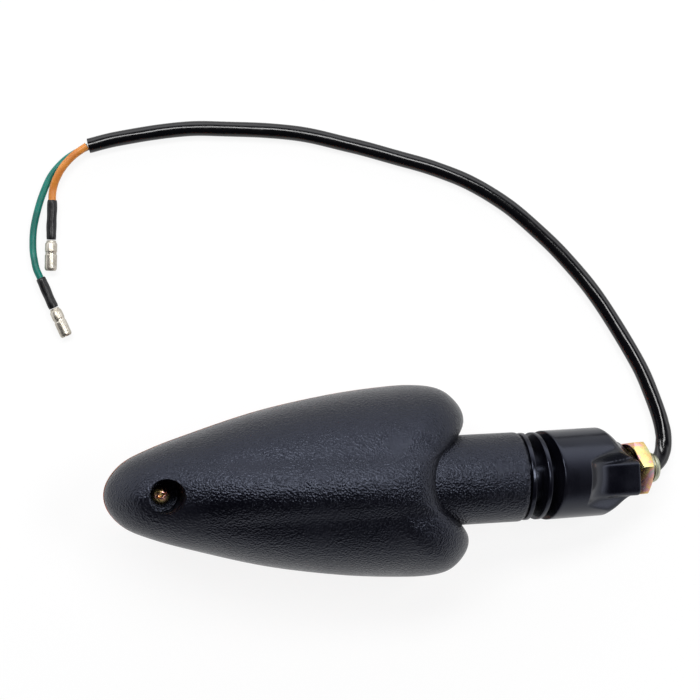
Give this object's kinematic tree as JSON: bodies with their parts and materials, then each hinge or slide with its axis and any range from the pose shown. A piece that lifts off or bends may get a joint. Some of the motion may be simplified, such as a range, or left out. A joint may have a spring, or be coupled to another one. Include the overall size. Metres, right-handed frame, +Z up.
{
  "type": "motorcycle turn signal indicator",
  "caption": "Teardrop turn signal on a hollow arm with a flexible rubber neck, a keyed rubber mount, a hollow threaded stud with a hex nut, and a sleeved lead with bullet terminals.",
  "frame": {"origin": "middle of the bottom of the signal's own box, without the lead, as it lies on its lens and nut", "axes": "+Z up, +X from the nose towards the mounting stud, +Y towards the side on which the lead lies"},
  "size_m": [0.1974, 0.1433, 0.0567],
  "materials": {
    "housing_plastic": "matt black with a fine moulded grain",
    "black_rubber": "smooth semi-gloss black rubber",
    "amber_lens": "clear amber, polished",
    "silvered": "vacuum metallised",
    "yellow_zinc": "iridescent yellow passivated zinc",
    "olive_zinc": "olive passivated zinc",
    "bright_steel": "bright steel",
    "brass": "stamped brass",
    "solder": "dull tin solder",
    "phenolic": "brown phenolic board",
    "clear_glass": "clear glass",
    "orange_insulation": "satin orange insulation",
    "green_insulation": "satin green insulation",
    "black_sleeving": "glossy black soft sleeving",
    "tinned_brass": "matt tin plate"
  },
  "bodies": {
    "mount": {"rubber_collar": "black_rubber", "mounting_stud": "olive_zinc", "cable_sleeve": "black_sleeving", "orange_wire": "orange_insulation", "green_wire": "green_insulation", "orange_heat_shrink": "black_sleeving", "green_heat_shrink": "black_sleeving", "orange_bullet": "tinned_brass", "green_bullet": "tinned_brass"},
    "neck": {"neck_ring": "black_rubber"},
    "head": {"rear_housing": "housing_plastic", "lens_seal": "black_rubber", "lens": "amber_lens", "reflector": "silvered", "lens_screw": "yellow_zinc", "bulb_socket": "bright_steel", "socket_insulator": "phenolic", "live_terminal": "brass", "ground_terminal": "brass", "socket_holder": "black_rubber", "live_wire": "orange_insulation", "ground_wire": "green_insulation", "neck_plug": "black_rubber", "contact_spring": "bright_steel"},
    "bulb": {"bulb_base": "brass", "bulb_contact": "solder", "bulb_glass": "clear_glass", "bulb_filament": "bright_steel", "contact_plunger": "phenolic"},
    "nut": {"hex_nut": "yellow_zinc"}
  },
  "joints": [
    {"name": "neck_side_flex", "type": "hinge", "parent": "mount", "child": "neck", "pos_m": [0.04612, 0, 0.02354], "axis": [0.3278, 0, 0.9447], "range_deg": [-5, 5], "stiffness_Nm_per_rad": 5},
    {"name": "neck_lift_flex", "type": "hinge", "parent": "neck", "child": "head", "pos_m": [0.04267, 0, 0.02474], "axis": [0, 1, 0], "range_deg": [-1.5, 12], "stiffness_Nm_per_rad": 5},
    {"name": "bulb_push", "type": "slide", "parent": "head", "child": "bulb", "axis": [0.9758, 0, -0.2188], "range_m": [0, 0.0018], "stiffness_N_per_m": 1500, "deforming": ["contact_spring"]},
    {"name": "nut_turn", "type": "hinge", "parent": "mount", "child": "nut", "pos_m": [0.04612, 0, 0.02354], "axis": [0.9016, 0, -0.4327], "continuous": true}
  ]
}
